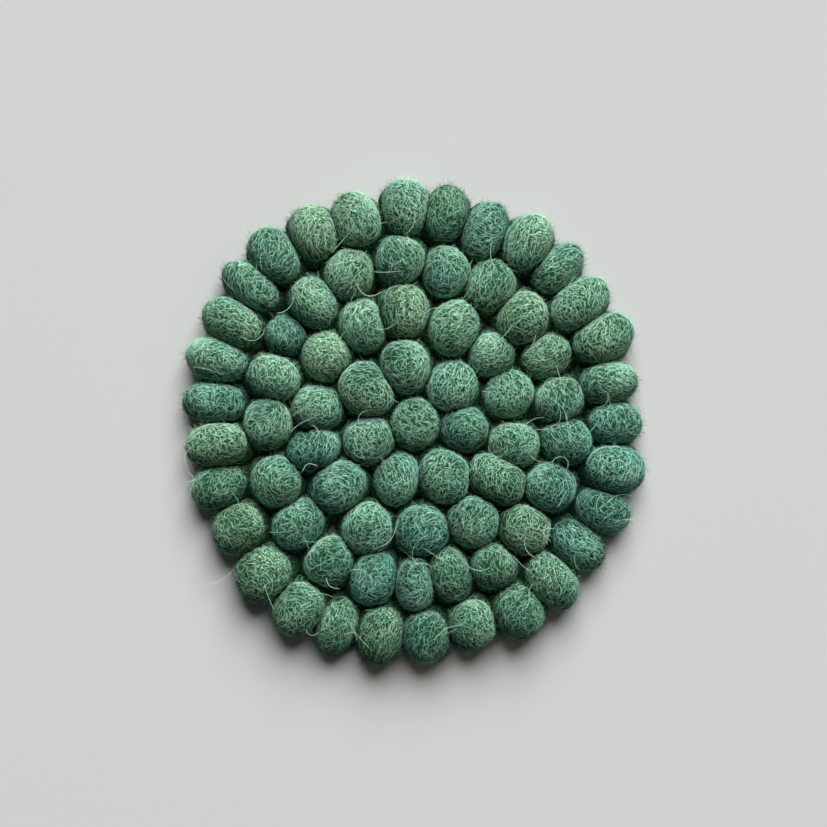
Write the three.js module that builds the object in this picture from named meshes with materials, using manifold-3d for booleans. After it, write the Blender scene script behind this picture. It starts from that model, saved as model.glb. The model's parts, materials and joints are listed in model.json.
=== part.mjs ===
// A round coaster of wool felt balls: one ball in the middle and four rings round it,
// strung on one long thread that spirals outwards and laced together by seven spokes of a second thread.
// Millimetres, +Z up. The origin is the middle of the coaster's outline, on the table.
import * as THREE from "three";
import { mergeVertices } from "three/addons/utils/BufferGeometryUtils.js";
import Module from "manifold-3d";

const wasm = await Module();
wasm.setup();

// Driving dimensions
const BALL_DIAMETER = 11.2; // a felt ball as it is rolled, before it is sewn in
const STRING_SQUEEZE = 0.5; // how much closer than that the string draws the balls of the first ring
const RING_SQUEEZE = 0.2; // how much closer than that the lacing draws one ring to the next
const PRESSED_FLAT = 0.6; // how deep the finished coaster is pressed flat, above and below
const SEAM_GAP = 0.3; // between the faces of two neighbouring balls
const THREAD_DIAMETER = 0.8;
const NEEDLE_CLEARANCE = 0.35; // between a thread and the hole that it runs in
const FELT_BETWEEN_HOLES = 0.3; // where the lacing passes under the string
const NECK_WALL = 1.55; // the neck of felt round the string that joins the two balls of a rim pair
const TAIL = 1.2; // how far the string's end runs into the first rim ball

// How finely the round surfaces are faceted
const BALL_SIDES = 10;
const BALL_BANDS = 4;
const THREAD_SIDES = 5;
const NECK_SIDES = 8;
const STEPS_PER_BALL = 2;

// Each ring in the order it is strung, clockwise seen from above: the bearing of every ball in degrees
// from +Y, how far it has settled out from its ring in mm, and its shade: p pine, m moss or o olive.
const RINGS = [
  {
    name: "inner_ball",
    bearings: [351, 46, 97, 150, 197, 250, 304],
    outsets: [0.5, -0.3, -1.1, 1.2, 0.5, -1.6, 0.6],
    shades: "mmpmmmo",
  },
  {
    name: "second_ball",
    bearings: [332, 355, 22, 48, 73, 102, 124, 149, 176, 204, 230, 255, 279, 307],
    outsets: [1.1, 1.4, -0.6, -0.5, -1.4, -1.1, -1.6, 2.1, 0.5, 2.1, -1.7, -0.7, -1.5, 1.7],
    shades: "mommmmompmmpmo",
  },
  {
    name: "third_ball",
    bearings: [
      320, 336, 355, 12, 29, 46, 63, 81, 97, 115, 134, 151, 167, 180, 195, 212, 229, 247, 270, 288, 304,
    ],
    outsets: [
      0.9, 1.6, 1.4, 0, 0.5, -1.9, -1.7, -2.1, -0.5, -1.4, -0.7, 1.7, -0.1, 1.5, 0.8, 1.8, -0.8, -1.6, -2.1,
      -1.9, 0.2,
    ],
    shades: "mompmommppommmpmpmmmp",
  },
  {
    name: "rim_pair",
    paired: true,
    bearings: [
      310, 320, 332, 344, 358, 9, 20, 32, 43, 54, 66, 78, 90, 103, 115, 127, 139, 151, 164, 177, 189, 201,
      212, 225, 239, 252, 264, 276, 288, 299,
    ],
    outsets: [
      0.7, 1.8, 1.3, 0.9, 1.7, 0.3, -1.1, 0.6, 0.4, -1.1, -0.6, -2.7, -2.3, -1.2, -0.2, -1.4, -0.3, 0.9, -0.3,
      0.6, 0.9, 2, 1.6, 1.2, -0.7, -0.2, -2.2, -1.4, -0.1, -0.6,
    ],
    shades: "ppoommpompmmpmppmpmpmmmmopmmmo",
  },
];

// The narrowest and the widest that a ball gets along its ring, as shares of its own diameter.
const NARROWEST = 0.7;
const WIDEST = 1.08;

const FELT_COLOURS = { p: 0x3f6a57, m: 0x4c7455, o: 0x5d7a4f };
const feltMaterials = Object.fromEntries(
  Object.entries(FELT_COLOURS).map(([shade, color]) => [
    shade,
    new THREE.MeshStandardMaterial({ color, roughness: 0.95, metalness: 0 }),
  ]),
);
const threadMaterial = new THREE.MeshStandardMaterial({ color: 0x3c5a45, roughness: 0.8, metalness: 0 });

const BALL_RADIUS = BALL_DIAMETER / 2;
const THICKNESS = BALL_DIAMETER - 2 * PRESSED_FLAT;
const STRING_HEIGHT = THICKNESS / 2;
const THREAD_RADIUS = THREAD_DIAMETER / 2;
const HOLE_RADIUS = THREAD_RADIUS + NEEDLE_CLEARANCE;
const LACING_HEIGHT = STRING_HEIGHT - 2 * HOLE_RADIUS - FELT_BETWEEN_HOLES;
const NECK_RADIUS = HOLE_RADIUS + NECK_WALL;

// A closed geometry as a solid that can be joined and cut.
function solidOf(geometry) {
  const bare = new THREE.BufferGeometry();
  bare.setAttribute("position", geometry.getAttribute("position"));
  bare.setIndex(geometry.index);
  const merged = mergeVertices(bare);
  return new wasm.Manifold(
    new wasm.Mesh({
      numProp: 3,
      vertProperties: merged.getAttribute("position").array,
      triVerts: new Uint32Array(merged.index.array),
    }),
  );
}

// A solid's surface as a geometry.
function geometryOf(solid) {
  const { vertProperties, triVerts } = solid.getMesh();
  const geometry = new THREE.BufferGeometry();
  geometry.setAttribute("position", new THREE.BufferAttribute(vertProperties, 3));
  geometry.setIndex(new THREE.BufferAttribute(triVerts, 1));
  geometry.computeVertexNormals();
  return geometry;
}

// The string closes the first ring ball against ball, and each later ring lies one ball further out.
function ringRadius(index) {
  const first = (BALL_DIAMETER - STRING_SQUEEZE) / (2 * Math.sin(Math.PI / RINGS[0].bearings.length));
  return first + index * (BALL_DIAMETER - RING_SQUEEZE);
}

// A ball's place, with its level directions along its ring and out from the middle.
function ballAt(bearing, distance) {
  const angle = THREE.MathUtils.degToRad(bearing);
  const outwards = new THREE.Vector2(Math.sin(angle), Math.cos(angle));
  return {
    bearing,
    outwards,
    along: new THREE.Vector2(outwards.y, -outwards.x),
    place: outwards.clone().multiplyScalar(distance),
    width: BALL_DIAMETER,
    length: BALL_DIAMETER,
  };
}

// A strung ball takes the width that its two neighbours on the ring leave it.
// It keeps its volume by growing in length, out from the middle.
function squeezeOnRing(balls) {
  balls.forEach((ball, i) => {
    const before = balls.at(i - 1).place;
    const after = balls[(i + 1) % balls.length].place;
    const room = (ball.place.distanceTo(before) + ball.place.distanceTo(after)) / 2 - SEAM_GAP;
    ball.width = THREE.MathUtils.clamp(room, NARROWEST * BALL_DIAMETER, WIDEST * BALL_DIAMETER);
    ball.length = BALL_DIAMETER ** 2 / ball.width;
  });
}

const centre = ballAt(0, 0);
const rings = RINGS.map((ring, index) => {
  const balls = ring.bearings.map((bearing, i) => ballAt(bearing, ringRadius(index) + ring.outsets[i]));
  squeezeOnRing(balls);
  return balls;
});
const allBalls = [centre, ...rings.flat()];

// How far a ball reaches from its middle along a level direction.
function reach(ball, direction) {
  const sideways = (ball.width / 2) * direction.dot(ball.along);
  const endways = (ball.length / 2) * direction.dot(ball.outwards);
  return Math.hypot(sideways, endways);
}

// The upright seam faces that flatten a ball against the neighbours it is pressed to.
function seamFaces(ball) {
  return allBalls
    .filter((other) => other !== ball)
    .map((other) => {
      const direction = other.place.clone().sub(ball.place);
      const apart = direction.length();
      direction.divideScalar(apart);
      const own = reach(ball, direction);
      const both = own + reach(other, direction);
      return { direction, distance: ((apart - SEAM_GAP) * own) / both, pressed: both + SEAM_GAP > apart };
    })
    .filter((face) => face.pressed);
}

// Half the outline of a round ball between its two pressed flats, from the underside up.
function ballProfile() {
  const highest = Math.asin(THICKNESS / BALL_DIAMETER);
  const profile = [new THREE.Vector2(0, 0)];
  for (let band = 0; band <= BALL_BANDS; band++) {
    const latitude = THREE.MathUtils.lerp(-highest, highest, band / BALL_BANDS);
    const height = STRING_HEIGHT + BALL_RADIUS * Math.sin(latitude);
    profile.push(new THREE.Vector2(BALL_RADIUS * Math.cos(latitude), height));
  }
  profile.push(new THREE.Vector2(0, THICKNESS));
  return profile;
}

// A felt ball in the coaster: an oval ball with pressed flats, drawn in behind every seam face.
function ballSolid(ball) {
  const geometry = new THREE.LatheGeometry(ballProfile(), BALL_SIDES);
  geometry.rotateX(Math.PI / 2);
  geometry.scale(ball.width / BALL_DIAMETER, ball.length / BALL_DIAMETER, 1);
  geometry.rotateZ(THREE.MathUtils.degToRad(-ball.bearing));
  const faces = seamFaces(ball);
  const points = geometry.getAttribute("position");
  const offset = new THREE.Vector2();
  for (let i = 0; i < points.count; i++) {
    offset.set(points.getX(i), points.getY(i));
    for (const face of faces) {
      const out = offset.dot(face.direction);
      if (out > face.distance) offset.multiplyScalar(face.distance / out);
    }
    points.setXY(i, ball.place.x + offset.x, ball.place.y + offset.y);
  }
  return solidOf(geometry);
}

// The neck of felt between the two balls of a pair, along the line of their middles.
function neckSolid(a, b) {
  const line = b.place.clone().sub(a.place);
  const middle = a.place.clone().lerp(b.place, 0.5);
  const neck = new THREE.CylinderGeometry(NECK_RADIUS, NECK_RADIUS, line.length(), NECK_SIDES);
  neck.rotateZ(line.angle() - Math.PI / 2);
  neck.translate(middle.x, middle.y, STRING_HEIGHT);
  return solidOf(neck);
}

// A round thread, or the hole for one, along a smooth line through the given points.
function threadSolid(points, radius) {
  const section = new THREE.EllipseCurve(0, 0, radius, radius).getPoints(THREAD_SIDES).slice(1);
  const tube = new THREE.ExtrudeGeometry(new THREE.Shape(section), {
    extrudePath: new THREE.CatmullRomCurve3(points),
    steps: STEPS_PER_BALL * (points.length - 1),
    bevelEnabled: false,
  });
  return solidOf(tube);
}

// The same line with its last point moved on, so that a blind hole ends clear of its thread.
function runOn(points, distance) {
  const last = points.at(-1);
  const onwards = last.clone().sub(points.at(-2)).setLength(distance);
  return [...points.slice(0, -1), onwards.add(last)];
}

function atHeight(place, height) {
  return new THREE.Vector3(place.x, place.y, height);
}

// The string runs through the middle ball and every ring in turn, and ends in the first ball of the rim.
function stringRoute() {
  const rim = rings.at(-1);
  const seam = rim.at(-1).place.clone().lerp(rim[0].place, 0.5);
  const tail = rim[0].place.clone().sub(seam).setLength(TAIL).add(seam);
  return [...allBalls.map((ball) => ball.place), tail].map((place) => atHeight(place, STRING_HEIGHT));
}

// The angle in degrees between two balls' bearings, whichever way round is shorter.
function turnBetween(a, b) {
  return Math.abs(((a.bearing - b.bearing + 540) % 360) - 180);
}

// A spoke of the lacing runs out from the middle ball through the nearest ball of each ring.
function spokeRoute(innerBall) {
  const route = [centre, innerBall];
  for (const ring of rings.slice(1)) {
    const from = route.at(-1);
    const byTurn = ring.toSorted((a, b) => turnBetween(a, from) - turnBetween(b, from));
    route.push(byTurn[0]);
  }
  return route.map((ball) => atHeight(ball.place, LACING_HEIGHT));
}

function joined(solids) {
  return solids.reduce((sum, solid) => sum.add(solid));
}

const string = stringRoute();
const spokes = rings[0].map(spokeRoute);
const stringSolid = threadSolid(string, THREAD_RADIUS);
const lacingSolid = joined(spokes.map((spoke) => threadSolid(spoke, THREAD_RADIUS)));
const needleHoles = joined([
  threadSolid(runOn(string, NEEDLE_CLEARANCE), HOLE_RADIUS),
  ...spokes.map((spoke) => threadSolid(runOn(spoke, NEEDLE_CLEARANCE), HOLE_RADIUS)),
]);

const coaster = new THREE.Group();

// Adds a solid as a named mesh that turns about its own place.
function addPiece(name, solid, material, place) {
  const mesh = new THREE.Mesh(geometryOf(solid).translate(-place.x, -place.y, 0), material);
  mesh.name = name;
  mesh.position.set(place.x, place.y, 0);
  coaster.add(mesh);
}

addPiece("centre_ball", ballSolid(centre).subtract(needleHoles), feltMaterials.m, centre.place);
RINGS.forEach((ring, index) => {
  const balls = rings[index];
  const step = ring.paired ? 2 : 1;
  for (let i = 0; i < balls.length; i += step) {
    const number = String(i / step + 1).padStart(2, "0");
    const mates = balls.slice(i, i + step);
    const bodies = mates.map(ballSolid);
    if (ring.paired) bodies.push(neckSolid(...mates));
    const felt = joined(bodies).subtract(needleHoles);
    addPiece(`${ring.name}_${number}`, felt, feltMaterials[ring.shades[i]], mates[0].place);
  }
});
addPiece("ring_string", stringSolid, threadMaterial, centre.place);
addPiece("spoke_lacing", lacingSolid, threadMaterial, centre.place);

// The irregular outline is centred on the origin.
const middle = new THREE.Box3().setFromObject(coaster).getCenter(new THREE.Vector3());
coaster.children.forEach((mesh) => mesh.position.sub(new THREE.Vector3(middle.x, middle.y, 0)));

export default coaster;
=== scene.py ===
"""Looks of a round coaster of wool felt balls, dressed over its CAD frame. Metres, +Z up."""

import json
import math
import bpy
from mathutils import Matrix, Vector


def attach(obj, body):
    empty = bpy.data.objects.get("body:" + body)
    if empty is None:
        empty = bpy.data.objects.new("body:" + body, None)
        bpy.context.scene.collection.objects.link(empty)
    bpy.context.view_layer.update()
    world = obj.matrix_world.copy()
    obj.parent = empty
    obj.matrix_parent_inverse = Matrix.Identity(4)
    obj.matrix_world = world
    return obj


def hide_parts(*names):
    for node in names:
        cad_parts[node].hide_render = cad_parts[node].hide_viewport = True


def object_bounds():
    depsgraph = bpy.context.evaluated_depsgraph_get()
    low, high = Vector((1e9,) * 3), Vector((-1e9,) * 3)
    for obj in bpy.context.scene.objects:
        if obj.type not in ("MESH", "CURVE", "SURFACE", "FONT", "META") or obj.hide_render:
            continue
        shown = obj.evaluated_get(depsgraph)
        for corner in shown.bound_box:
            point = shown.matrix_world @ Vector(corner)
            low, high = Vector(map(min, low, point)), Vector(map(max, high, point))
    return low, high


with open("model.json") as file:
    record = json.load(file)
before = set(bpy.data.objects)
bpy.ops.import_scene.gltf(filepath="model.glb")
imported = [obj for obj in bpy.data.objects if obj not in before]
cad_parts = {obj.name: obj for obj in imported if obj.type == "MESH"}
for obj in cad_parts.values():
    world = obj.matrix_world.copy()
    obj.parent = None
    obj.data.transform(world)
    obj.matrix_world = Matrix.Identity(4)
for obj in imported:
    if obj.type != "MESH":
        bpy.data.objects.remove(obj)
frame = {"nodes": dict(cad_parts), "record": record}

from types import SimpleNamespace

import bmesh
import bpy
import numpy as np
from mathutils import Vector

MM = 0.001
SEED = 20731
BODY = "root"

# The photograph's framing
FRAME_PIXELS = 827
PIXEL = 0.2193 * MM
COASTER_MIDDLE_PIXEL = (413, 421)
CAMERA_HEIGHT = 470 * MM
SENSOR = 36.0

# How near a ball lies that counts as at the hub, and two balls that count as neighbours
AT_HUB = 1 * MM
NEIGHBOUR_DISTANCE = 16 * MM

# How a ball is pressed into shape
DOME_RISE = 1.12
SIDE_SWELL = 1.12
SAG_SWELL = 0.5
SAG_DELAY = 0.05
SAG_RATE = 2.0
RIM_SWELL = 1.02
RIM_INNER_SWELL = 1.0
ROUND = 2.0
RIM_SQUARENESS = 2.12
DOME_SHARPNESS = 4.6
DOME_FULLNESS = 1.05 * MM
SEAM_SHARPNESS = 28.0
HEIGHT_SPREAD = 0.2 * MM
LUMP_WAVES = 7
LUMP_PACE = (1.5, 5.0)
LUMP_HEIGHT = 0.03
BALL_DETAIL = 5

# Balls that bulge over their neighbours, balls that are squeezed down between them, small ones and big ones
HIGH_BALLS = (
    "rim_ball_01b", "rim_ball_02a", "rim_ball_03a", "rim_ball_04b", "rim_ball_05b", "rim_ball_06a",
    "rim_ball_07b", "rim_ball_09a", "rim_ball_09b", "rim_ball_12a", "rim_ball_12b", "rim_ball_14a",
    "rim_ball_15b", "inner_ball_01", "inner_ball_02", "inner_ball_04", "inner_ball_07",
    "second_ball_02", "second_ball_03", "second_ball_07", "second_ball_08", "second_ball_09",
    "second_ball_11", "third_ball_05",
)
LOW_BALLS = (
    "rim_ball_03b", "rim_ball_05a", "rim_ball_07a", "rim_ball_08a", "rim_ball_11b", "rim_ball_13b",
    "rim_ball_14b", "inner_ball_03", "inner_ball_05", "second_ball_04", "second_ball_12",
    "second_ball_13", "third_ball_07",
)
SMALL_BALLS = ("third_ball_21",)
BIG_BALLS = ("third_ball_06",)
BIG, HIGH, LOW, SMALL = 1.12, 1.05, 0.95, 0.82
RISE_PER_SIZE = 9 * MM

# Folds across two balls: the direction over each fold, where on the ball it lies and how deep it is
CREASES = {
    "second_ball_12": ((0.95, 0.30, 0.0), -0.1, 0.17),
    "second_ball_05": ((0.45, 0.85, 0.1), -0.1, 0.07),
}
CREASE_WIDTH = 0.14

# Matted fibres that lie on a ball, the deep ones first, counted as if it had no neighbours
DEEP_FIBRES = SimpleNamespace(
    count=900,
    thickness=(0.05 * MM, 0.10 * MM),
    length=(0.8 * MM, 2.2 * MM),
    lift=(0.0, 0.08 * MM),
    # Deep fibres are drawn darker than those above them: partly darker wool, partly painted shade among the
    # fibres
    paleness=(0.06, 0.5),
)
PALE_LOCKS = SimpleNamespace(
    count=950,
    thickness=(0.06 * MM, 0.12 * MM),
    length=(0.6 * MM, 1.8 * MM),
    lift=(0.04 * MM, 0.2 * MM),
    paleness=(0.2, 1.0),
)
FINE_FIBRES = SimpleNamespace(
    count=420,
    thickness=(0.06 * MM, 0.10 * MM),
    length=(1.0 * MM, 3.0 * MM),
    lift=(0.14 * MM, 0.32 * MM),
    paleness=(0.85, 1.0),
)
FIBRE_POINTS = 4
FIBRE_SIDES = 3
FIBRE_BEND = 1.6
ARCH_POWER = 0.6
END_DEPTH = 0.03 * MM
TIP_GAP = 0.0001 * MM
LOWEST_FIBRE = 0.12 * MM
PALE_RARITY = 1.1
BALLS_PER_FIBRE_PIECE = 7

# Where fibres are set on a ball, and how they run
GOLDEN_ANGLE = math.pi * (3 - math.sqrt(5))
UNEVEN_SPREAD = 1.3
SEAM_EDGE = 0.95
UNDERSIDE = -0.5
UNDERSIDE_SHARE = 0.4
WINDINGS = 5
WINDING_SHARE = 0.5
ASTRAY = (0.2, 1.1)

# Loose ends that stand off a ball, and the halo of short ones round the coaster's edge
LOOSE_FUZZ = SimpleNamespace(
    count=230,
    bend=2.5,
    thickness=(0.04 * MM, 0.075 * MM),
    length=(0.8 * MM, 3.0 * MM),
    rise=(0.2, 0.7),
    paleness=(0.2, 1.0),
)
EDGE_HALO = SimpleNamespace(
    count=850,
    bend=2.5,
    thickness=(0.03 * MM, 0.06 * MM),
    length=(0.5 * MM, 2.8 * MM),
    rise=(0.35, 0.9),
    paleness=(0.15, 0.9),
)
HALO_FACING = 0.35
RISE_POWER = 1.3

# Long hairs: the pixels that the clearest ones run between, with their bend, and the scattered ones
STRAY_HAIRS = [
    ((303, 472), (319, 466), 0.35),
    ((312, 424), (316, 440), 0.3),
    ((536, 525), (550, 541), 0.0),
    ((539, 530), (553, 528), 0.1),
    ((543, 524), (547, 544), -0.1),
    ((621, 481), (629, 466), 0.05),
    ((236, 567), (204, 586), 0.1),
    ((337, 255), (368, 251), -0.3),
    ((344, 634), (357, 641), 0.5),
    ((189, 470), (196, 445), 0.25),
    ((190, 492), (186, 470), -0.3),
    ((202, 536), (210, 522), 0.3),
    ((327, 574), (341, 588), -0.25),
    ((373, 548), (397, 521), -0.2),
    ((480, 333), (497, 352), 0.2),
    ((355, 280), (385, 291), -0.35),
]
STRAY_HAIR_THICKNESS = 0.105 * MM
STRAY_POINTS = 10
STRAY_COUNT = 130
STRAY_START = 2.5 * MM
STRAY_STEP = (0.4 * MM, 0.9 * MM)
STRAY_TURN = 0.22
STRAY_THICKNESS = (0.06 * MM, 0.10 * MM)
STRAY_DYE = (0.05, 0.4)
STRAY_PALENESS = (0.7, 1.0)
STRAY_LIFT = 0.28 * MM
STRAY_REACH = 0.35 * MM
STRAY_SLOPE = 0.55
STRAY_FELT_POINTS = 1500

# Dyes run from yellow-green, near 0, past olive, moss and pine to navy, at 1, and 0 itself is undyed
DYES = {"felt_olive": 0.2, "felt_moss": 0.38, "felt_pine": 0.55}
UNDYED = 0
LEAST_DYE, MOST_DYE = 0.02, 0.98
DYE_SPREAD = 0.02
FIBRE_DYE_SPREAD = 0.08
DYE_DRIFT = 0.045
DYE_PACE = 0.8
DYE_PHASE = 1

# Rim balls that are dyed otherwise than the other one of their pair
RIM_DYES = {"rim_ball_04b": "felt_olive", "rim_ball_13b": "felt_moss"}

# Balls whose dye leans towards navy or towards yellow-green
COOLER_BALLS = ("second_ball_11",)
WARMER_BALLS = (
    "rim_ball_01a", "rim_ball_01b", "rim_ball_06a", "rim_ball_07a", "rim_ball_08a", "rim_ball_10a",
    "rim_ball_11a", "rim_ball_12a", "rim_ball_12b", "rim_ball_14a", "rim_ball_15b", "second_ball_04",
    "second_ball_06", "third_ball_04", "third_ball_05", "third_ball_07", "third_ball_09",
)
DYE_LEAN = 0.12

# Balls drawn paler than most and balls drawn darker: partly wool of another shade, partly painted light on
# balls that lay lit and painted shade on balls that lay in shadow
PALER_AND_LIT_BALLS = (
    "inner_ball_02", "inner_ball_07", "rim_ball_02b", "rim_ball_03a", "rim_ball_04b", "rim_ball_05b",
    "rim_ball_06a", "rim_ball_07b", "rim_ball_15a", "second_ball_03", "second_ball_10", "third_ball_02",
)
DARKER_AND_SHADED_BALLS = (
    "inner_ball_03", "rim_ball_03b", "rim_ball_08b", "rim_ball_09b", "rim_ball_10b", "rim_ball_11a",
    "rim_ball_11b", "rim_ball_13a", "rim_ball_13b", "second_ball_12", "third_ball_12", "third_ball_13",
    "third_ball_21",
)
PALENESS_AND_LIGHT_LEAN = 0.22
PALENESS_DRIFT = 0.07
PALENESS_PHASE = 3

# Colours at four places among the dyes: felt between its lines, which is dark wool with painted shade
# between the fibres, felt along its lines, deep and pale fibres
DYE_PLACES = (0.02, 0.4, 0.72, 1.0)
DARK_WOOL_AND_GAP_SHADE = [(0.012, 0.047, 0.017), (0.008, 0.045, 0.020), (0.005, 0.041, 0.024), (0.004, 0.025, 0.033)]
LINE_WOOL = [(0.070, 0.170, 0.066), (0.052, 0.161, 0.075), (0.028, 0.118, 0.074), (0.024, 0.104, 0.108)]
# The darker end of the fibres' range, which the deep fibres take most: dyed wool darkened with painted shade
# among the fibres
MID_WOOL = [(0.032, 0.093, 0.031), (0.022, 0.087, 0.037), (0.011, 0.064, 0.038), (0.008, 0.045, 0.056)]
PALE_WOOL = [(0.610, 0.930, 0.630), (0.505, 0.920, 0.710), (0.320, 0.720, 0.600), (0.250, 0.600, 0.660)]
UNDYED_MID = (0.42, 0.52, 0.42)
UNDYED_PALE = (0.73, 0.86, 0.73)

# Lines in the felt: the turn of each layer, their stretch, how far they wander, how sharp they are
LINE_TURNS = ((0.3, 0.2, 0.1), (1.3, 0.4, 0.9), (0.5, 1.2, 2.0))
LINE_STRETCH = (0.55, 3.2, 3.2)
LINE_WANDER = (5, 5, 5)
LINE_START, LINE_FULL = 0.56, 0.68

# How strands lie on the texture map: the step from point to point, and the span of all their colours
PATCH_STEP = 0.0008
PATCH_SPAN = 0.98

FLOOR_HALF_WIDTH = 4

node_slots = {part["node"]: part["material_slot"] for part in frame["record"]["subparts"]}


def node_points(name):
    """A CAD node's points, one row each."""
    mesh = frame["nodes"][name].data
    points = np.empty(len(mesh.vertices) * 3, np.float32)
    mesh.vertices.foreach_get("co", points)
    return points.reshape(-1, 3).astype(float)


def box_middle(points):
    return (points.min(axis=0) + points.max(axis=0)) / 2


def level_axes(middle, hub):
    """Directions out from the hub and clockwise along the ring, at a place on the coaster."""
    out = middle - hub
    out[2] = 0
    length = np.linalg.norm(out)
    out = out / length if length > AT_HUB else np.array([0.0, 1.0, 0.0])
    return out, np.array([out[1], -out[0], 0.0])


def ball_from_points(name, node, points, hub):
    """A felt ball's place and half sizes, read from the points of its solid."""
    out, along = level_axes(box_middle(points), hub)
    axes = np.array([along, out, [0.0, 0.0, 1.0]])
    local = points @ axes.T
    low, high = local.min(axis=0), local.max(axis=0)
    return SimpleNamespace(
        name=name,
        node=node,
        slot=RIM_DYES.get(name, node_slots[node]),
        on_rim=node.startswith("rim_pair"),
        axes=axes,
        place=((low + high) / 2) @ axes,
        half=(high - low) / 2,
        faces=[],
    )


def balls_of_node(node, hub):
    """One ball, or the two of a rim pair, told apart by the side of the pair's middle they lie on."""
    points = node_points(node)
    if not node.startswith("rim_pair"):
        return [ball_from_points(node, node, points, hub)]
    middle = box_middle(points)
    along = level_axes(middle, hub)[1]
    side = (points - middle) @ along
    first = ball_from_points(node.replace("pair", "ball") + "a", node, points[side < 0], hub)
    second = ball_from_points(node.replace("pair", "ball") + "b", node, points[side > 0], hub)
    return [first, second]


def ball_size(name):
    """A ball's size as a share of what its ring leaves it."""
    if name in BIG_BALLS:
        return BIG
    if name in SMALL_BALLS:
        return SMALL
    if name in HIGH_BALLS:
        return HIGH
    return LOW if name in LOW_BALLS else 1.0


def lean(name, upward, downward, step):
    """A step up for the balls of one list, a step down for those of another and none for the rest."""
    return step * ((name in upward) - (name in downward))


def reach(ball, direction):
    """How far a ball would spread in a direction if nothing pressed on it."""
    return np.linalg.norm((ball.axes @ direction) * ball.half)


def press_together(balls):
    """Gives each ball the seam faces that it shares with its neighbours, and its flat underside."""
    for ball in balls:
        ball.faces.append((np.array([0.0, 0.0, -1.0]), ball.place[2] - LOWEST_FIBRE))
        for other in balls:
            gap = other.place - ball.place
            apart = np.linalg.norm(gap)
            if other is ball or apart > NEIGHBOUR_DISTANCE:
                continue
            own = reach(ball, gap / apart)
            share = own / (own + reach(other, gap / apart))
            ball.faces.append((gap / apart, apart * share))


def lumps(ball, directions):
    """Smooth unevenness of hand-rolled felt, as a share of the ball's radius."""
    height = np.zeros(len(directions))
    for wave, phase in zip(ball.waves, ball.phases):
        height += np.sin(directions @ wave + phase) / np.linalg.norm(wave) ** 0.5
    height *= LUMP_HEIGHT
    if ball.name in CREASES:
        across, place, depth = CREASES[ball.name]
        height -= depth * np.exp(-((directions @ across - place) / CREASE_WIDTH) ** 2)
    return height


def dye_at(ball, directions):
    """The dye along unit directions from a ball's middle, which drifts in soft patches."""
    drift = np.sin(directions @ ball.waves.T * DYE_PACE + ball.phases + DYE_PHASE).sum(axis=1)
    return np.clip(ball.dye + DYE_DRIFT * drift, LEAST_DYE, MOST_DYE)


def paleness_at(ball, directions):
    """How much paler than most the wool is drawn along unit directions, with painted light on balls that lay
    lit and painted shade on those in shadow, which drifts in soft patches too.
    """
    drift = np.sin(directions @ ball.waves.T + ball.phases + PALENESS_PHASE).sum(axis=1)
    return ball.paleness + PALENESS_DRIFT * drift


def felt_radius(ball, directions):
    """Distance from a ball's middle to its felt along unit directions."""
    local = directions @ ball.axes.T
    sag = np.clip(-SAG_DELAY - SAG_RATE * local[:, 2], 0, 1)
    sag = sag * sag * (3 - 2 * sag)
    sides = SIDE_SWELL + SAG_SWELL * sag
    sharpness = DOME_SHARPNESS + (SEAM_SHARPNESS - DOME_SHARPNESS) * sag
    ends = sides
    if ball.on_rim:
        inner = sides - (SIDE_SWELL - RIM_INNER_SWELL) * (1 - sag)
        ends = np.where(local[:, 1] > 0, RIM_SWELL, inner)
    swell = ball.half * np.column_stack([sides, ends, np.full(len(sides), DOME_RISE)])
    # The powers are taken of lengths in millimetres
    along, out, up = np.abs(local / swell * MM).T
    square = RIM_SQUARENESS if ball.on_rim else ROUND
    press = np.hypot((along ** square + out ** square) ** (1 / square), up) ** sharpness
    for normal, distance in ball.faces:
        room = distance + DOME_FULLNESS * (1 - sag)
        press += np.maximum(directions @ normal / room * MM, 0) ** sharpness
    return press ** (-1 / sharpness) * MM * (1 + lumps(ball, directions))


def felt_points(ball, directions, lift=0.0):
    """Points on a ball's felt along unit directions, or lifted off it, but none in the table."""
    radius = felt_radius(ball, directions) + lift
    points = ball.place + directions * radius[:, None]
    points[:, 2] = np.maximum(points[:, 2], LOWEST_FIBRE)
    return points


def add_object(name, data):
    obj = bpy.data.objects.new(name, data)
    bpy.context.scene.collection.objects.link(obj)
    return obj


def felt_ball(ball, material):
    """A ball of felt, pressed against its neighbours and the table."""
    shape = bmesh.new()
    bmesh.ops.create_icosphere(shape, subdivisions=BALL_DETAIL, radius=1)
    directions = np.array([vert.co.normalized() for vert in shape.verts])
    for vert, point in zip(shape.verts, felt_points(ball, directions)):
        vert.co = point
    for face in shape.faces:
        face.smooth = True
    name = f"{ball.name}_felt"
    mesh = bpy.data.meshes.new(name)
    shape.to_mesh(mesh)
    shape.free()
    shade = mesh.attributes.new("dye", "FLOAT", "POINT")
    shade.data.foreach_set("value", dye_at(ball, directions))
    mesh.materials.append(material)
    return add_object(name, mesh)


def random_directions(count, rng):
    directions = rng.normal(size=(count, 3))
    return directions / np.linalg.norm(directions, axis=1)[:, None]


def spread_directions(count, rng):
    """Unit directions all round, about evenly spread."""
    number = np.arange(count) + 0.5
    height = 1 - 2 * number / count
    level = np.sqrt(1 - height * height)
    turn = number * GOLDEN_ANGLE
    directions = np.column_stack([level * np.cos(turn), level * np.sin(turn), height])
    tilt = np.linalg.qr(rng.normal(size=(3, 3)))[0]
    directions = directions @ tilt + rng.normal(0, UNEVEN_SPREAD / math.sqrt(count), (count, 3))
    return directions / np.linalg.norm(directions, axis=1)[:, None]


def showing_directions(ball, count, rng):
    """Spread directions without those to the seams with other balls, and with few to the underside."""
    tried = spread_directions(count, rng)
    pressed = np.zeros(len(tried))
    for normal, distance in ball.faces:
        pressed = np.maximum(pressed, tried @ normal / distance * felt_radius(ball, tried))
    upper = (tried[:, 2] > UNDERSIDE) | (rng.random(len(tried)) < UNDERSIDE_SHARE)
    return tried[(pressed < SEAM_EDGE) & upper]


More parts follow.
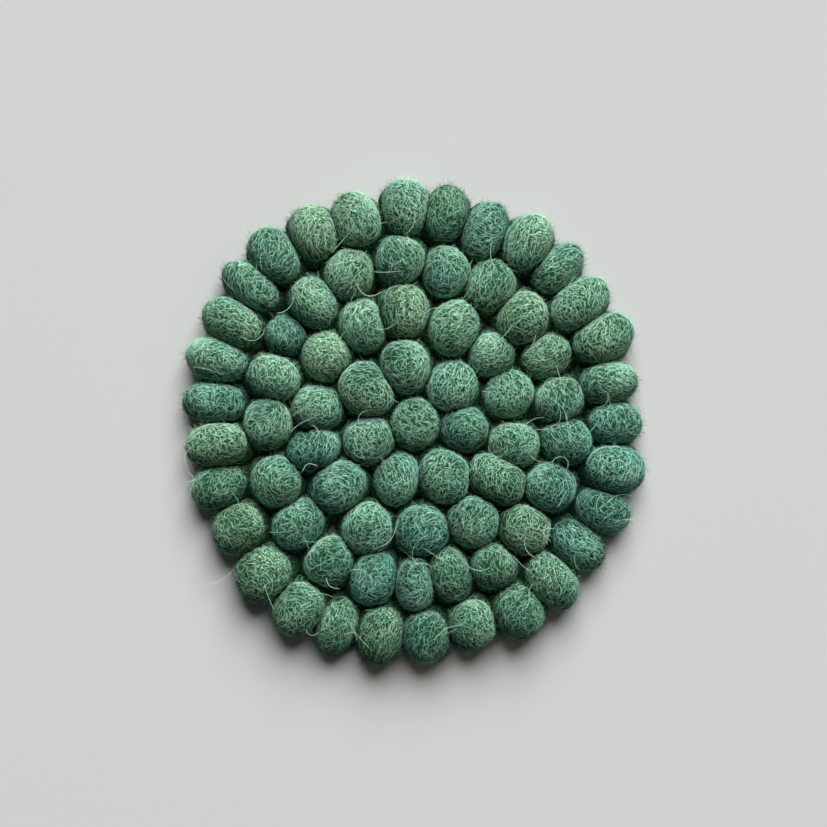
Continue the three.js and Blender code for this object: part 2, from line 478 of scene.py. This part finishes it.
def headings_at(ball, directions, rng):
    """Directions along the felt, round an axis that the ball's wool was wound about, more or less astray."""
    nearest = np.argmax(directions @ ball.windings.T, axis=1)
    other = rng.integers(WINDINGS, size=len(directions))
    # The axis listed before the nearest one, because fibres would circle tightly round the nearest
    chosen = np.where(rng.random(len(directions)) < WINDING_SHARE, nearest - 1, other)
    axes = ball.windings[chosen]
    stray = random_directions(len(directions), rng) * rng.uniform(*ASTRAY, (len(directions), 1))
    headings = np.cross(directions, axes + stray)
    return headings / np.linalg.norm(headings, axis=1)[:, None]


def strokes(ball, directions, lengths, bends, shares, rng):
    """Bent strokes over a ball as unit directions, at shares of each one's length from where it is set."""
    headings = headings_at(ball, directions, rng)
    sides = np.cross(directions, headings) * bends[:, None]
    paths = []
    for share in shares:
        ahead = share * lengths[:, None] / np.mean(ball.half)
        path = directions + headings * ahead + sides * ahead * ahead
        paths.append(path / np.linalg.norm(path, axis=1)[:, None])
    return paths


def matted_fibres(ball, kind, rng):
    """Fibres that lie on the felt with both ends worked in: points, thickness and paleness of each."""
    directions = showing_directions(ball, kind.count, rng)
    count = len(directions)
    lengths = rng.uniform(*kind.length, count)
    bends = rng.normal(0, FIBRE_BEND, count)
    lifts = rng.uniform(*kind.lift, count)
    shares = np.linspace(-0.5, 0.5, FIBRE_POINTS)
    rows = []
    for share, path in zip(shares, strokes(ball, directions, lengths, bends, shares, rng)):
        arch = math.cos(math.pi * share) ** ARCH_POWER
        rows.append(felt_points(ball, path, lifts * arch - END_DEPTH * (1 - arch)))
    deepest, palest = kind.paleness
    paleness = deepest + (palest - deepest) * rng.random(count) ** PALE_RARITY
    return np.stack(rows, axis=1), rng.uniform(*kind.thickness, count), paleness


def loose_fuzz(ball, kind, directions, rng):
    """Fine ends that stand off the felt: points, thickness and paleness of each."""
    count = len(directions)
    lengths = rng.uniform(*kind.length, count)
    rises = rng.uniform(*kind.rise, count)
    bends = rng.normal(0, kind.bend, count)
    shares = np.linspace(0, 1, FIBRE_POINTS)
    rows = []
    for share, path in zip(shares, strokes(ball, directions, lengths * (1 - rises), bends, shares, rng)):
        rows.append(felt_points(ball, path, lengths * rises * share ** RISE_POWER))
    return np.stack(rows, axis=1), rng.uniform(*kind.thickness, count), rng.uniform(*kind.paleness, count)


def fibre_layers(ball, rng):
    """All the fibres of a ball, from the deep ones to the fuzz."""
    layers = [matted_fibres(ball, kind, rng) for kind in (DEEP_FIBRES, PALE_LOCKS, FINE_FIBRES)]
    layers.append(loose_fuzz(ball, LOOSE_FUZZ, showing_directions(ball, LOOSE_FUZZ.count, rng), rng))
    if ball.on_rim:
        edge = showing_directions(ball, EDGE_HALO.count, rng)
        layers.append(loose_fuzz(ball, EDGE_HALO, edge[edge @ ball.axes[1] > HALO_FACING], rng))
    return layers


def ball_fibres(balls, rng):
    """The fibres of several balls: points, thickness, dye with paleness, and ball number of each."""
    layers = []
    for owner, ball in enumerate(balls):
        for points, thickness, paleness in fibre_layers(ball, rng):
            starts = points[:, 0] - ball.place
            starts /= np.linalg.norm(starts, axis=1)[:, None]
            dyes = dye_at(ball, starts) + rng.normal(0, FIBRE_DYE_SPREAD, len(starts))
            dyes = np.clip(dyes, LEAST_DYE, MOST_DYE)
            wool = np.column_stack([dyes, np.clip(paleness + paleness_at(ball, starts), 0, 1)])
            layers.append((points, thickness, wool, np.full(len(points), owner)))
    return [np.concatenate(part) for part in zip(*layers)]


def dome_height(felt, x, y):
    """Height of the felt over a point of the table, from points all over the felt."""
    near = np.abs(felt[:, :2] - (x, y)).max(axis=1) < STRAY_REACH
    return felt[near, 2].max(initial=LOWEST_FIBRE)


def stray_hair(felt, path):
    """A long hair over the felt along level points, which dips gently between domes and past the rim."""
    height = np.array([dome_height(felt, x, y) for x, y in path])
    drop = STRAY_SLOPE * np.linalg.norm(path[1] - path[0])
    for point in range(1, len(path)):
        height[point] = max(height[point], height[point - 1] - drop)
    for point in reversed(range(len(path) - 1)):
        height[point] = max(height[point], height[point + 1] - drop)
    return np.column_stack([path, height + STRAY_LIFT])


def table_point(pixel):
    """The point of the table that a pixel of the photograph shows."""
    return np.subtract(pixel, COASTER_MIDDLE_PIXEL) * (PIXEL, -PIXEL)


def photographed_strays():
    """Level paths of the long hairs that stand out, each bent to one side."""
    paths = []
    share = np.linspace(0, 1, STRAY_POINTS)[:, None]
    for start, end, bend in STRAY_HAIRS:
        first, last = table_point(start), table_point(end)
        side = np.array([first[1] - last[1], last[0] - first[0]])
        paths.append(first + (last - first) * share + side * bend * np.sin(math.pi * share))
    return paths


def scattered_strays(balls, rng):
    """Level paths of more long hairs, each from near the top of a ball in any direction."""
    paths = []
    for number in rng.integers(len(balls), size=STRAY_COUNT):
        heading = rng.uniform(0, 2 * math.pi) + np.cumsum(np.full(STRAY_POINTS, rng.normal(0, STRAY_TURN)))
        steps = np.column_stack([np.cos(heading), np.sin(heading)]) * rng.uniform(*STRAY_STEP)
        paths.append(balls[number].place[:2] + rng.normal(0, STRAY_START, 2) + np.cumsum(steps, axis=0))
    return paths


def stray_fibres(balls, rng):
    """All the long hairs, as ball_fibres gives the others, but of no ball, so with zeros for its number."""
    paths = photographed_strays() + scattered_strays(balls, rng)
    felt = np.concatenate([felt_points(ball, spread_directions(STRAY_FELT_POINTS, rng)) for ball in balls])
    rows = np.array([stray_hair(felt, path) for path in paths])
    dyes = rng.uniform(*STRAY_DYE, len(rows))
    dyes[:len(STRAY_HAIRS)] = UNDYED
    wool = np.column_stack([dyes, rng.uniform(*STRAY_PALENESS, len(rows))])
    thickness = rng.uniform(*STRAY_THICKNESS, len(rows))
    thickness[:len(STRAY_HAIRS)] = STRAY_HAIR_THICKNESS
    return rows, thickness, wool, np.zeros(len(rows))


def strand_section():
    """The section that every strand is drawn along with, a unit in radius."""
    section = bpy.data.curves.new("strand_section", "CURVE")
    outline = section.splines.new("POLY")
    outline.points.add(FIBRE_SIDES - 1)
    for corner, point in enumerate(outline.points):
        angle = -2 * math.pi * corner / FIBRE_SIDES
        point.co = (math.cos(angle), math.sin(angle), 0, 1)
    outline.use_cyclic_u = True
    return bpy.data.objects.new("strand_section", section)


def fibre_piece(name, fibres, balls, section, material):
    """Fibres as one mesh of fine strands, each pointed at both ends."""
    rows, thickness, wool, owners = fibres
    curve = bpy.data.curves.new(name, "CURVE")
    curve.dimensions = "3D"
    curve.bevel_mode = "OBJECT"
    curve.bevel_object = section
    points_each = rows.shape[1]
    # A strand's radius as a share of its thickness, point by point
    taper = np.array([0.0] + [0.5] * (points_each - 2) + [0.0])
    for row, thick in zip(rows, thickness):
        spline = curve.splines.new("POLY")
        spline.points.add(points_each - 1)
        spline.points.foreach_set("co", np.column_stack([row, np.ones(points_each)]).ravel())
        spline.points.foreach_set("radius", taper * thick)
    holder = add_object(name + "_curve", curve)
    bpy.context.view_layer.update()
    mesh = bpy.data.meshes.new_from_object(holder.evaluated_get(bpy.context.evaluated_depsgraph_get()))
    bpy.data.objects.remove(holder)
    bpy.data.curves.remove(curve)
    mesh.name = name
    dye_fibres(mesh, points_each * FIBRE_SIDES, wool, owners.astype(np.int32))
    close_tips(mesh)
    shade_as_felt(mesh, balls)
    mesh.materials.clear()
    mesh.materials.append(material)
    return add_object(name, mesh)


def dye_fibres(mesh, points_each, wool, owners):
    """Writes fibres' dye, paleness and ball to their points, and lays them on the texture map by colour."""
    fibre = np.arange(len(mesh.vertices)) // points_each
    point_wool = np.column_stack([wool[fibre], np.zeros(len(fibre))])
    mesh.attributes.new("wool", "FLOAT_VECTOR", "POINT").data.foreach_set("vector", point_wool.ravel())
    mesh.attributes.new("ball", "INT", "POINT").data.foreach_set("value", owners[fibre])
    corner_point = np.empty(len(mesh.loops), np.int32)
    mesh.loops.foreach_get("vertex_index", corner_point)
    within = corner_point % points_each
    patch = np.column_stack([within % FIBRE_SIDES, within // FIBRE_SIDES]) * PATCH_STEP
    while mesh.uv_layers:
        mesh.uv_layers.remove(mesh.uv_layers[0])
    texture_map = mesh.uv_layers.new(name="OFBake")
    texture_map.data.foreach_set("uv", (wool[fibre[corner_point]] * PATCH_SPAN + patch).ravel())


def close_tips(mesh):
    """Draws the points at each end of a strand together."""
    shape = bmesh.new()
    shape.from_mesh(mesh)
    bmesh.ops.remove_doubles(shape, verts=shape.verts, dist=TIP_GAP)
    shape.to_mesh(mesh)
    shape.free()


def shade_as_felt(mesh, balls):
    """Lets fibres catch the light as their balls' felt does, and fibres of no ball as level felt does."""
    count = len(mesh.vertices)
    points = np.empty(count * 3)
    mesh.vertices.foreach_get("co", points)
    points = points.reshape(-1, 3)
    owners = np.empty(count, np.int32)
    mesh.attributes["ball"].data.foreach_get("value", owners)
    normals = np.column_stack([np.zeros((count, 2)), np.ones(count)])
    for number, ball in enumerate(balls):
        own = owners == number
        normals[own] = (points[own] - ball.place) @ ball.axes.T / ball.half ** 2 @ ball.axes
    normals /= np.linalg.norm(normals, axis=1)[:, None]
    mesh.shade_smooth()
    mesh.normals_split_custom_set_from_vertices(normals.tolist())


def new_material(name):
    material = bpy.data.materials.new(name)
    material.use_nodes = True
    nodes = material.node_tree.nodes
    return material, nodes, material.node_tree.links, nodes["Principled BSDF"]


def ramp(nodes, stops, colour=True):
    """A colour ramp with the given (place, value) stops."""
    node = nodes.new("ShaderNodeValToRGB")
    elements = node.color_ramp.elements
    while len(elements) < len(stops):
        elements.new(1.0)
    for element, (place, value) in zip(elements, stops):
        element.position = place
        element.color = (*value, 1) if colour else (value, value, value, 1)
    return node


def dye_ramp(nodes, colours):
    return ramp(nodes, list(zip(DYE_PLACES, colours)))


def fibre_ramp(nodes, undyed, colours):
    return ramp(nodes, [(UNDYED, undyed), *zip(DYE_PLACES, colours)])


def fibre_lines_group():
    """Crossing lines of matted fibre, from points in millimetres: 0 between the fibres and 1 on them."""
    group = bpy.data.node_groups.new("matted fibre lines", "ShaderNodeTree")
    group.interface.new_socket("Point", in_out="INPUT", socket_type="NodeSocketVector")
    group.interface.new_socket("Lines", in_out="OUTPUT", socket_type="NodeSocketFloat")
    nodes, links = group.nodes, group.links
    entry = nodes.new("NodeGroupInput")
    leave = nodes.new("NodeGroupOutput")
    bend = nodes.new("ShaderNodeTexNoise")
    bend.inputs["Scale"].default_value = 0.45
    bend.inputs["Detail"].default_value = 1.0
    links.new(entry.outputs["Point"], bend.inputs["Vector"])
    shift = nodes.new("ShaderNodeVectorMath")
    shift.operation = "MULTIPLY_ADD"
    shift.inputs[1].default_value = LINE_WANDER
    links.new(bend.outputs["Color"], shift.inputs[0])
    links.new(entry.outputs["Point"], shift.inputs[2])
    layers = []
    for turn in LINE_TURNS:
        stretch = nodes.new("ShaderNodeMapping")
        stretch.inputs["Rotation"].default_value = turn
        stretch.inputs["Scale"].default_value = LINE_STRETCH
        links.new(shift.outputs["Vector"], stretch.inputs["Vector"])
        line = nodes.new("ShaderNodeTexNoise")
        line.inputs["Scale"].default_value = 1.0
        line.inputs["Detail"].default_value = 1.5
        links.new(stretch.outputs["Vector"], line.inputs["Vector"])
        layers.append(line.outputs["Fac"])
    first = nodes.new("ShaderNodeMath")
    first.operation = "MAXIMUM"
    links.new(layers[0], first.inputs[0])
    links.new(layers[1], first.inputs[1])
    both = nodes.new("ShaderNodeMath")
    both.operation = "MAXIMUM"
    links.new(first.outputs[0], both.inputs[0])
    links.new(layers[2], both.inputs[1])
    sharpen = ramp(nodes, [(LINE_START, 0.0), (LINE_FULL, 1.0)], colour=False)
    links.new(both.outputs[0], sharpen.inputs["Fac"])
    links.new(sharpen.outputs["Color"], leave.inputs["Lines"])
    return group


def felt_material(slot, lines_group):
    """Matted wool: dark between the fibres, its own dark wool with painted shade there, lighter along them,
    with a soft sheen.
    """
    material, nodes, links, surface = new_material(slot)
    place = nodes.new("ShaderNodeTexCoord")
    millimetres = nodes.new("ShaderNodeVectorMath")
    millimetres.operation = "SCALE"
    millimetres.inputs["Scale"].default_value = 1 / MM
    links.new(place.outputs["Object"], millimetres.inputs[0])
    lines = nodes.new("ShaderNodeGroup")
    lines.node_tree = lines_group
    links.new(millimetres.outputs["Vector"], lines.inputs["Point"])
    dye = nodes.new("ShaderNodeAttribute")
    dye.attribute_name = "dye"
    # The felt between the lines: dark wool with painted shade between the fibres
    dark = dye_ramp(nodes, DARK_WOOL_AND_GAP_SHADE)
    bright = dye_ramp(nodes, LINE_WOOL)
    for shade in (dark, bright):
        links.new(dye.outputs["Fac"], shade.inputs["Fac"])
    cloud = nodes.new("ShaderNodeTexNoise")
    cloud.inputs["Scale"].default_value = 0.3
    cloud.inputs["Detail"].default_value = 3.0
    links.new(millimetres.outputs["Vector"], cloud.inputs["Vector"])
    mix = nodes.new("ShaderNodeMix")
    mix.data_type = "RGBA"
    links.new(lines.outputs["Lines"], mix.inputs["Factor"])
    links.new(dark.outputs["Color"], mix.inputs["A"])
    links.new(bright.outputs["Color"], mix.inputs["B"])
    depth = nodes.new("ShaderNodeMix")
    depth.data_type = "RGBA"
    depth.blend_type = "MULTIPLY"
    depth.inputs["Factor"].default_value = 0.5
    links.new(mix.outputs["Result"], depth.inputs["A"])
    links.new(cloud.outputs["Fac"], depth.inputs["B"])
    links.new(depth.outputs["Result"], surface.inputs["Base Color"])
    bump = nodes.new("ShaderNodeBump")
    bump.inputs["Strength"].default_value = 0.9
    bump.inputs["Distance"].default_value = 0.12 * MM
    links.new(lines.outputs["Lines"], bump.inputs["Height"])
    links.new(bump.outputs["Normal"], surface.inputs["Normal"])
    surface.inputs["Roughness"].default_value = 0.95
    surface.inputs["Specular IOR Level"].default_value = 0.06
    surface.inputs["Sheen Weight"].default_value = 0.04
    surface.inputs["Sheen Roughness"].default_value = 0.5
    surface.inputs["Sheen Tint"].default_value = (0.55, 0.80, 0.62, 1)
    return material


def fibre_material():
    """Single wool fibres, each in its ball's dye and more or less pale."""
    material, nodes, links, surface = new_material("wool_fibre")
    wool = nodes.new("ShaderNodeAttribute")
    wool.attribute_name = "wool"
    parts = nodes.new("ShaderNodeSeparateXYZ")
    links.new(wool.outputs["Vector"], parts.inputs["Vector"])
    mid = fibre_ramp(nodes, UNDYED_MID, MID_WOOL)
    pale = fibre_ramp(nodes, UNDYED_PALE, PALE_WOOL)
    for shade in (mid, pale):
        links.new(parts.outputs["X"], shade.inputs["Fac"])
    mix = nodes.new("ShaderNodeMix")
    mix.data_type = "RGBA"
    links.new(parts.outputs["Y"], mix.inputs["Factor"])
    links.new(mid.outputs["Color"], mix.inputs["A"])
    links.new(pale.outputs["Color"], mix.inputs["B"])
    links.new(mix.outputs["Result"], surface.inputs["Base Color"])
    surface.inputs["Roughness"].default_value = 0.75
    surface.inputs["Specular IOR Level"].default_value = 0.06
    return material


def thread_material():
    """Twisted sewing thread: slanting plies, with painted shade in their grooves."""
    material, nodes, links, surface = new_material("sewing_thread")
    place = nodes.new("ShaderNodeTexCoord")
    plies = nodes.new("ShaderNodeTexWave")
    plies.bands_direction = "DIAGONAL"
    plies.inputs["Scale"].default_value = 420
    plies.inputs["Distortion"].default_value = 1.5
    links.new(place.outputs["Object"], plies.inputs["Vector"])
    # Painted shade: the thread is drawn darker in the grooves between its plies
    colour = ramp(nodes, [(0.0, (0.008, 0.018, 0.011)), (1.0, (0.028, 0.052, 0.034))])
    links.new(plies.outputs["Fac"], colour.inputs["Fac"])
    links.new(colour.outputs["Color"], surface.inputs["Base Color"])
    bump = nodes.new("ShaderNodeBump")
    bump.inputs["Distance"].default_value = 0.08 * MM
    links.new(plies.outputs["Fac"], bump.inputs["Height"])
    links.new(bump.outputs["Normal"], surface.inputs["Normal"])
    surface.inputs["Roughness"].default_value = 0.8
    return material


def floor_piece():
    """A plain pale table top."""
    material, _, _, surface = new_material("pale_floor")
    surface.inputs["Base Color"].default_value = (0.57, 0.55, 0.545, 1)
    surface.inputs["Roughness"].default_value = 0.9
    shape = bmesh.new()
    bmesh.ops.create_grid(shape, x_segments=1, y_segments=1, size=FLOOR_HALF_WIDTH)
    mesh = bpy.data.meshes.new("floor")
    shape.to_mesh(mesh)
    shape.free()
    mesh.materials.append(material)
    return add_object("floor", mesh)


def aim(obj, target):
    direction = Vector(target) - obj.location
    obj.rotation_euler = direction.to_track_quat("-Z", "Y").to_euler()


def area_light(name, place, size, power, colour):
    lamp = bpy.data.lights.new(name, "AREA")
    lamp.shape = "DISK"
    lamp.size = size
    lamp.energy = power
    lamp.color = colour
    obj = add_object(name, lamp)
    obj.location = place
    aim(obj, (0, 0, 0))


def studio_light():
    """Soft cool light from the far side, as from a window, warm light from the right and a grey surround."""
    area_light("window", place=(1.26, 6.96, 7.08), size=8.4, power=1800, colour=(0.94, 1.0, 0.985))
    area_light("room", place=(2.2, 0.2, 1.8), size=1.2, power=3.6, colour=(1.0, 0.84, 0.55))
    world = bpy.data.worlds.new("surround")
    bpy.context.scene.world = world
    world.use_nodes = True
    background = world.node_tree.nodes["Background"]
    background.inputs["Color"].default_value = (0.95, 0.97, 1.0, 1)
    background.inputs["Strength"].default_value = 0.045


def camera_above():
    """Looks straight down, with the coaster where the photograph has it, to scale at half its height."""
    middle = FRAME_PIXELS / 2
    lens_height = CAMERA_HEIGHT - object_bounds()[1][2] / 2
    data = bpy.data.cameras.new("camera")
    data.sensor_width = SENSOR
    data.lens = SENSOR * lens_height / (FRAME_PIXELS * PIXEL)
    camera = add_object("camera", data)
    camera.location = (
        (middle - COASTER_MIDDLE_PIXEL[0]) * PIXEL,
        (COASTER_MIDDLE_PIXEL[1] - middle) * PIXEL,
        CAMERA_HEIGHT,
    )
    bpy.context.scene.camera = camera


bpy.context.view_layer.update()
bpy.context.scene.view_settings.view_transform = "Standard"
rng = np.random.default_rng(SEED)
felt_nodes = sorted(node for node, slot in node_slots.items() if slot in DYES)
hub = box_middle(node_points("centre_ball"))
balls = [ball for node in felt_nodes for ball in balls_of_node(node, hub)]
for ball in balls:
    size = ball_size(ball.name)
    ball.half *= size
    ball.place[2] += RISE_PER_SIZE * (min(size, HIGH) - 1) + rng.normal(0, HEIGHT_SPREAD)
press_together(balls)
for ball in balls:
    dye = DYES[ball.slot] + lean(ball.name, COOLER_BALLS, WARMER_BALLS, DYE_LEAN)
    ball.dye = dye + rng.normal(0, DYE_SPREAD)
    # Each ball's lean: partly wool of another shade, partly painted light and painted shade on whole balls
    ball.paleness = lean(ball.name, PALER_AND_LIT_BALLS, DARKER_AND_SHADED_BALLS, PALENESS_AND_LIGHT_LEAN)
    ball.waves = random_directions(LUMP_WAVES, rng) * rng.uniform(*LUMP_PACE, (LUMP_WAVES, 1))
    ball.phases = rng.uniform(0, 2 * math.pi, LUMP_WAVES)
    ball.windings = random_directions(WINDINGS, rng)

camera_above()
studio_light()
floor_piece()

fibre_lines = fibre_lines_group()
felts = {slot: felt_material(slot, fibre_lines) for slot in DYES}
for ball in balls:
    piece = felt_ball(ball, felts[ball.slot])
    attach(piece, BODY)
    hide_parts(ball.node)

wool = fibre_material()
section = strand_section()
for first in range(0, len(balls), BALLS_PER_FIBRE_PIECE):
    some = balls[first:first + BALLS_PER_FIBRE_PIECE]
    name = f"wool_fibres_{first // BALLS_PER_FIBRE_PIECE + 1}"
    piece = fibre_piece(name, ball_fibres(some, rng), some, section, wool)
    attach(piece, BODY)
piece = fibre_piece("stray_hairs", stray_fibres(balls, rng), [], section, wool)
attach(piece, BODY)

bpy.data.objects.remove(section)

thread = thread_material()
for node, slot in node_slots.items():
    if slot == "thread":
        materials = frame["nodes"][node].data.materials
        materials.clear()
        materials.append(thread)
